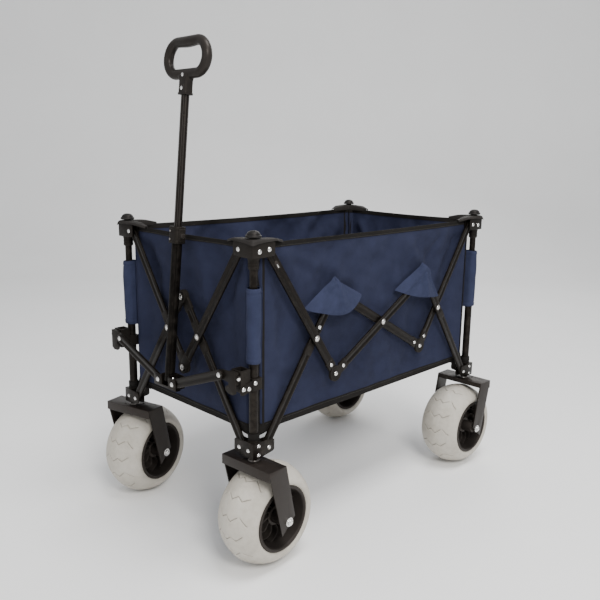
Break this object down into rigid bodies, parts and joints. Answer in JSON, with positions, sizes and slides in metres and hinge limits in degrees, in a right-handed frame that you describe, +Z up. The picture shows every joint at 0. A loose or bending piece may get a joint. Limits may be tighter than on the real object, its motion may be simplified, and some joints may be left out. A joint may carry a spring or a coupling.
{
  "type": "folding beach cart",
  "caption": "Four-wheeled folding beach cart: navy fabric tub in a black scissor frame with fat pale tyres, swivel front casters and a telescoping pull handle.",
  "frame": {"origin": "on the ground, in the middle of the four corner posts", "axes": "+X towards the pull handle (front), +Y to the cart's left side, +Z up"},
  "size_m": [1.0749, 0.6877, 1.2293],
  "materials": {
    "black_paint": "satin",
    "black_plastic": "matte",
    "navy_cloth": "woven, matte",
    "tyre_grey": "matte",
    "zinc": "bright"
  },
  "bodies": {
    "leg_front_left": {"leg_tube_front_left": "black_paint", "lower_hub_front_left": "black_paint", "post_clamp_left": "black_plastic", "basket_tub": "navy_cloth"},
    "post_front_left": {"upper_post_front_left": "black_paint"},
    "wheel_front_left": {"tyre_front_left": "tyre_grey", "wheel_rim_front_left": "black_plastic"},
    "leg_front_right": {"leg_tube_front_right": "black_paint", "lower_hub_front_right": "black_paint", "post_clamp_right": "black_plastic"},
    "post_front_right": {"upper_post_front_right": "black_paint"},
    "wheel_front_right": {"tyre_front_right": "tyre_grey", "wheel_rim_front_right": "black_plastic"},
    "leg_rear_left": {"leg_tube_rear_left": "black_paint", "lower_hub_rear_left": "black_paint", "fork_rear_left": "black_paint", "axle_bolt_rear_left": "zinc"},
    "post_rear_left": {"upper_post_rear_left": "black_paint"},
    "wheel_rear_left": {"tyre_rear_left": "tyre_grey", "wheel_rim_rear_left": "black_plastic"},
    "leg_rear_right": {"leg_tube_rear_right": "black_paint", "lower_hub_rear_right": "black_paint", "fork_rear_right": "black_paint", "axle_bolt_rear_right": "zinc"},
    "post_rear_right": {"upper_post_rear_right": "black_paint"},
    "wheel_rear_right": {"tyre_rear_right": "tyre_grey", "wheel_rim_rear_right": "black_plastic"},
    "caster_front_left": {"fork_front_left": "black_paint", "axle_bolt_front_left": "zinc"},
    "caster_front_right": {"fork_front_right": "black_paint", "axle_bolt_front_right": "zinc"},
    "left_inner_bar_front": {"left_inner_bar_front": "black_paint"},
    "left_inner_bar_middle": {"left_inner_bar_middle": "black_paint"},
    "left_inner_bar_rear": {"left_inner_bar_rear": "black_paint"},
    "left_outer_bar_front": {"left_outer_bar_front": "black_paint"},
    "left_outer_bar_middle": {"left_outer_bar_middle": "black_paint"},
    "left_outer_bar_rear": {"left_outer_bar_rear": "black_paint"},
    "right_inner_bar_front": {"right_inner_bar_front": "black_paint"},
    "right_inner_bar_middle": {"right_inner_bar_middle": "black_paint"},
    "right_inner_bar_rear": {"right_inner_bar_rear": "black_paint"},
    "right_outer_bar_front": {"right_outer_bar_front": "black_paint"},
    "right_outer_bar_middle": {"right_outer_bar_middle": "black_paint"},
    "right_outer_bar_rear": {"right_outer_bar_rear": "black_paint"},
    "front_inner_bar_left": {"front_inner_bar_left": "black_paint"},
    "front_inner_bar_right": {"front_inner_bar_right": "black_paint"},
    "front_outer_bar_left": {"front_outer_bar_left": "black_paint"},
    "front_outer_bar_right": {"front_outer_bar_right": "black_paint"},
    "rear_inner_bar_left": {"rear_inner_bar_left": "black_paint"},
    "rear_inner_bar_right": {"rear_inner_bar_right": "black_paint"},
    "rear_outer_bar_left": {"rear_outer_bar_left": "black_paint"},
    "rear_outer_bar_right": {"rear_outer_bar_right": "black_paint"},
    "knuckle_left": {"handle_knuckle_left": "black_plastic"},
    "arm_left": {"handle_arm_left": "black_paint"},
    "knuckle_right": {"handle_knuckle_right": "black_plastic"},
    "arm_right": {"handle_arm_right": "black_paint"},
    "yoke": {"handle_yoke": "black_paint"},
    "handle_base": {"handle_lower_tube": "black_paint"},
    "handle_stem": {"handle_upper_tube": "black_paint", "handle_grip": "black_plastic"},
    "release_button": {"handle_release_button": "black_plastic"}
  },
  "joints": [
    {"name": "fold", "type": "hinge", "parent": "leg_front_left", "child": "left_inner_bar_front", "pos_m": [0.418, 0.2625, 0.297], "axis": [0, 1, 0], "range_deg": [0, 26], "deforming": ["basket_tub"]},
    {"name": "left_cross_front", "type": "hinge", "parent": "left_inner_bar_front", "child": "left_outer_bar_front", "pos_m": [0.25788, 0.2625, 0.52998], "axis": [0, 1, 0], "range_deg": [-52.01, 0]},
    {"name": "left_top_joint", "type": "hinge", "parent": "left_inner_bar_front", "child": "left_inner_bar_middle", "pos_m": [0.18589, 0.2625, 0.63473], "axis": [0, 1, 0], "range_deg": [-32.7, 0]},
    {"name": "left_cross_middle", "type": "hinge", "parent": "left_inner_bar_middle", "child": "left_outer_bar_middle", "pos_m": [0, 0.2625, 0.52998], "axis": [0, 1, 0], "range_deg": [0, 13.39]},
    {"name": "left_bottom_joint", "type": "hinge", "parent": "left_inner_bar_middle", "child": "left_inner_bar_rear", "pos_m": [-0.18589, 0.2625, 0.42523], "axis": [0, 1, 0], "range_deg": [0, 32.7]},
    {"name": "left_cross_rear", "type": "hinge", "parent": "left_inner_bar_rear", "child": "left_outer_bar_rear", "pos_m": [-0.25788, 0.2625, 0.52998], "axis": [0, 1, 0], "range_deg": [-52.01, 0]},
    {"name": "right_foot_front", "type": "hinge", "parent": "leg_front_right", "child": "right_inner_bar_front", "pos_m": [0.418, -0.2625, 0.297], "axis": [0, 1, 0], "range_deg": [0, 26.01]},
    {"name": "right_cross_front", "type": "hinge", "parent": "right_inner_bar_front", "child": "right_outer_bar_front", "pos_m": [0.25788, -0.2625, 0.52998], "axis": [0, 1, 0], "range_deg": [-52.01, 0]},
    {"name": "right_top_joint", "type": "hinge", "parent": "right_inner_bar_front", "child": "right_inner_bar_middle", "pos_m": [0.18589, -0.2625, 0.63473], "axis": [0, 1, 0], "range_deg": [-32.7, 0]},
    {"name": "right_cross_middle", "type": "hinge", "parent": "right_inner_bar_middle", "child": "right_outer_bar_middle", "pos_m": [0, -0.2625, 0.52998], "axis": [0, 1, 0], "range_deg": [0, 13.39]},
    {"name": "right_bottom_joint", "type": "hinge", "parent": "right_inner_bar_middle", "child": "right_inner_bar_rear", "pos_m": [-0.18589, -0.2625, 0.42523], "axis": [0, 1, 0], "range_deg": [0, 32.7]},
    {"name": "right_cross_rear", "type": "hinge", "parent": "right_inner_bar_rear", "child": "right_outer_bar_rear", "pos_m": [-0.25788, -0.2625, 0.52998], "axis": [0, 1, 0], "range_deg": [-52.01, 0]},
    {"name": "head_front_left", "type": "hinge", "parent": "left_outer_bar_front", "child": "post_front_left", "pos_m": [0.418, 0.2625, 0.76296], "axis": [0, 1, 0], "range_deg": [0, 26.01]},
    {"name": "head_rear_left", "type": "hinge", "parent": "left_inner_bar_rear", "child": "post_rear_left", "pos_m": [-0.418, 0.2625, 0.76296], "axis": [0, 1, 0], "range_deg": [-26.01, 0]},
    {"name": "foot_rear_left", "type": "hinge", "parent": "left_outer_bar_rear", "child": "leg_rear_left", "pos_m": [-0.418, 0.2625, 0.297], "axis": [0, 1, 0], "range_deg": [0, 26.01]},
    {"name": "front_foot_left", "type": "hinge", "parent": "leg_front_left", "child": "front_inner_bar_left", "pos_m": [0.4578, 0.2227, 0.297], "axis": [1, 0, 0], "range_deg": [-26.01, 0]},
    {"name": "front_cross_left", "type": "hinge", "parent": "front_inner_bar_left", "child": "front_outer_bar_left", "pos_m": [0.4578, 0.06258, 0.52998], "axis": [1, 0, 0], "range_deg": [0, 52.01]},
    {"name": "front_top_joint", "type": "hinge", "parent": "front_inner_bar_left", "child": "front_outer_bar_right", "pos_m": [0.4578, 0, 0.62103], "axis": [1, 0, 0], "range_deg": [0, 52.01]},
    {"name": "front_foot_right", "type": "hinge", "parent": "front_outer_bar_right", "child": "leg_front_right", "pos_m": [0.4578, -0.2227, 0.297], "axis": [1, 0, 0], "range_deg": [-26.01, 0]},
    {"name": "front_bottom_joint", "type": "hinge", "parent": "front_outer_bar_left", "child": "front_inner_bar_right", "pos_m": [0.4578, 0, 0.43893], "axis": [1, 0, 0], "range_deg": [-52.01, 0]},
    {"name": "front_head_right", "type": "hinge", "parent": "front_inner_bar_right", "child": "post_front_right", "pos_m": [0.4578, -0.2227, 0.76296], "axis": [1, 0, 0], "range_deg": [0, 26.01]},
    {"name": "rear_foot_left", "type": "hinge", "parent": "leg_rear_left", "child": "rear_inner_bar_left", "pos_m": [-0.4578, 0.2227, 0.297], "axis": [1, 0, 0], "range_deg": [-26.01, 0]},
    {"name": "rear_cross_left", "type": "hinge", "parent": "rear_inner_bar_left", "child": "rear_outer_bar_left", "pos_m": [-0.4578, 0.06258, 0.52998], "axis": [1, 0, 0], "range_deg": [0, 52.01]},
    {"name": "rear_top_joint", "type": "hinge", "parent": "rear_inner_bar_left", "child": "rear_outer_bar_right", "pos_m": [-0.4578, 0, 0.62103], "axis": [1, 0, 0], "range_deg": [0, 52.01]},
    {"name": "rear_foot_right", "type": "hinge", "parent": "rear_outer_bar_right", "child": "leg_rear_right", "pos_m": [-0.4578, -0.2227, 0.297], "axis": [1, 0, 0], "range_deg": [-26.01, 0]},
    {"name": "rear_bottom_joint", "type": "hinge", "parent": "rear_outer_bar_left", "child": "rear_inner_bar_right", "pos_m": [-0.4578, 0, 0.43893], "axis": [1, 0, 0], "range_deg": [-52.01, 0]},
    {"name": "rear_head_right", "type": "hinge", "parent": "rear_inner_bar_right", "child": "post_rear_right", "pos_m": [-0.4578, -0.2227, 0.76296], "axis": [1, 0, 0], "range_deg": [0, 26.01]},
    {"name": "knuckle_lean_left", "type": "hinge", "parent": "leg_front_left", "child": "knuckle_left", "pos_m": [0.503, 0.2477, 0.481], "axis": [0, 1, 0], "range_deg": [0, 5.81]},
    {"name": "knuckle_lean_right", "type": "hinge", "parent": "leg_front_right", "child": "knuckle_right", "pos_m": [0.503, -0.2477, 0.481], "axis": [0, 1, 0], "range_deg": [0, 5.81]},
    {"name": "arm_swing_left", "type": "hinge", "parent": "knuckle_left", "child": "arm_left", "pos_m": [0.5124, 0.21, 0.481], "axis": [1, 0, 0], "range_deg": [0, 64.72]},
    {"name": "yoke_swing", "type": "hinge", "parent": "arm_left", "child": "yoke", "pos_m": [0.5124, 0.03, 0.413], "axis": [1, 0, 0], "range_deg": [-64.72, 0]},
    {"name": "arm_swing_right", "type": "hinge", "parent": "yoke", "child": "arm_right", "pos_m": [0.5124, -0.03, 0.413], "axis": [1, 0, 0], "range_deg": [-64.72, 0]},
    {"name": "handle_tilt", "type": "hinge", "parent": "yoke", "child": "handle_base", "pos_m": [0.5034, 0, 0.42], "axis": [0, 1, 0], "range_deg": [0, 80]},
    {"name": "handle_extension", "type": "slide", "parent": "handle_base", "child": "handle_stem", "axis": [-0.0959, 0, 0.9954], "range_m": [-0.28, 0]},
    {"name": "release_button", "type": "slide", "parent": "handle_base", "child": "release_button", "axis": [0, -1, 0], "range_m": [0, 0.002], "stiffness_N_per_m": 400},
    {"name": "swivel_front_left", "type": "hinge", "parent": "leg_front_left", "child": "caster_front_left", "pos_m": [0.45, 0.2547, 0.271], "axis": [0, 0, 1], "continuous": true},
    {"name": "wheel_spin_front_left", "type": "hinge", "parent": "caster_front_left", "child": "wheel_front_left", "pos_m": [0.41106, 0.25259, 0.125], "axis": [-0.0541, 0.9985, 0], "continuous": true},
    {"name": "swivel_front_right", "type": "hinge", "parent": "leg_front_right", "child": "caster_front_right", "pos_m": [0.45, -0.2547, 0.271], "axis": [0, 0, 1], "continuous": true},
    {"name": "wheel_spin_front_right", "type": "hinge", "parent": "caster_front_right", "child": "wheel_front_right", "pos_m": [0.41219, -0.26427, 0.125], "axis": [-0.2453, 0.9694, 0], "continuous": true},
    {"name": "wheel_spin_rear_left", "type": "hinge", "parent": "leg_rear_left", "child": "wheel_rear_left", "pos_m": [-0.414, 0.2547, 0.125], "axis": [0, 1, 0], "continuous": true},
    {"name": "wheel_spin_rear_right", "type": "hinge", "parent": "leg_rear_right", "child": "wheel_rear_right", "pos_m": [-0.414, -0.2547, 0.125], "axis": [0, 1, 0], "continuous": true}
  ],
  "couplings": [
    {"joint": "left_cross_front", "follows": "fold", "ratio": -2},
    {"joint": "left_top_joint", "follows": "fold", "ratio": -1.2573},
    {"joint": "left_cross_middle", "follows": "fold", "ratio": 0.51456},
    {"joint": "left_bottom_joint", "follows": "fold", "ratio": 1.2573},
    {"joint": "left_cross_rear", "follows": "fold", "ratio": -2},
    {"joint": "right_foot_front", "follows": "fold", "ratio": 1},
    {"joint": "right_cross_front", "follows": "fold", "ratio": -2},
    {"joint": "right_top_joint", "follows": "fold", "ratio": -1.2573},
    {"joint": "right_cross_middle", "follows": "fold", "ratio": 0.51456},
    {"joint": "right_bottom_joint", "follows": "fold", "ratio": 1.2573},
    {"joint": "right_cross_rear", "follows": "fold", "ratio": -2},
    {"joint": "head_front_left", "follows": "fold", "ratio": 1},
    {"joint": "head_rear_left", "follows": "fold", "ratio": -1},
    {"joint": "foot_rear_left", "follows": "fold", "ratio": 1},
    {"joint": "front_foot_left", "follows": "fold", "ratio": -1},
    {"joint": "front_cross_left", "follows": "fold", "ratio": 2},
    {"joint": "front_top_joint", "follows": "fold", "ratio": 2},
    {"joint": "front_foot_right", "follows": "fold", "ratio": -1},
    {"joint": "front_bottom_joint", "follows": "fold", "ratio": -2},
    {"joint": "front_head_right", "follows": "fold", "ratio": 1},
    {"joint": "rear_foot_left", "follows": "fold", "ratio": -1},
    {"joint": "rear_cross_left", "follows": "fold", "ratio": 2},
    {"joint": "rear_top_joint", "follows": "fold", "ratio": 2},
    {"joint": "rear_foot_right", "follows": "fold", "ratio": -1},
    {"joint": "rear_bottom_joint", "follows": "fold", "ratio": -2},
    {"joint": "rear_head_right", "follows": "fold", "ratio": 1},
    {"joint": "knuckle_lean_left", "follows": "fold", "ratio": 0.22308},
    {"joint": "knuckle_lean_right", "follows": "fold", "ratio": 0.22308},
    {"joint": "arm_swing_left", "follows": "fold", "ratio": 2.4888},
    {"joint": "yoke_swing", "follows": "fold", "ratio": -2.4888},
    {"joint": "arm_swing_right", "follows": "fold", "ratio": -2.4888}
  ]
}
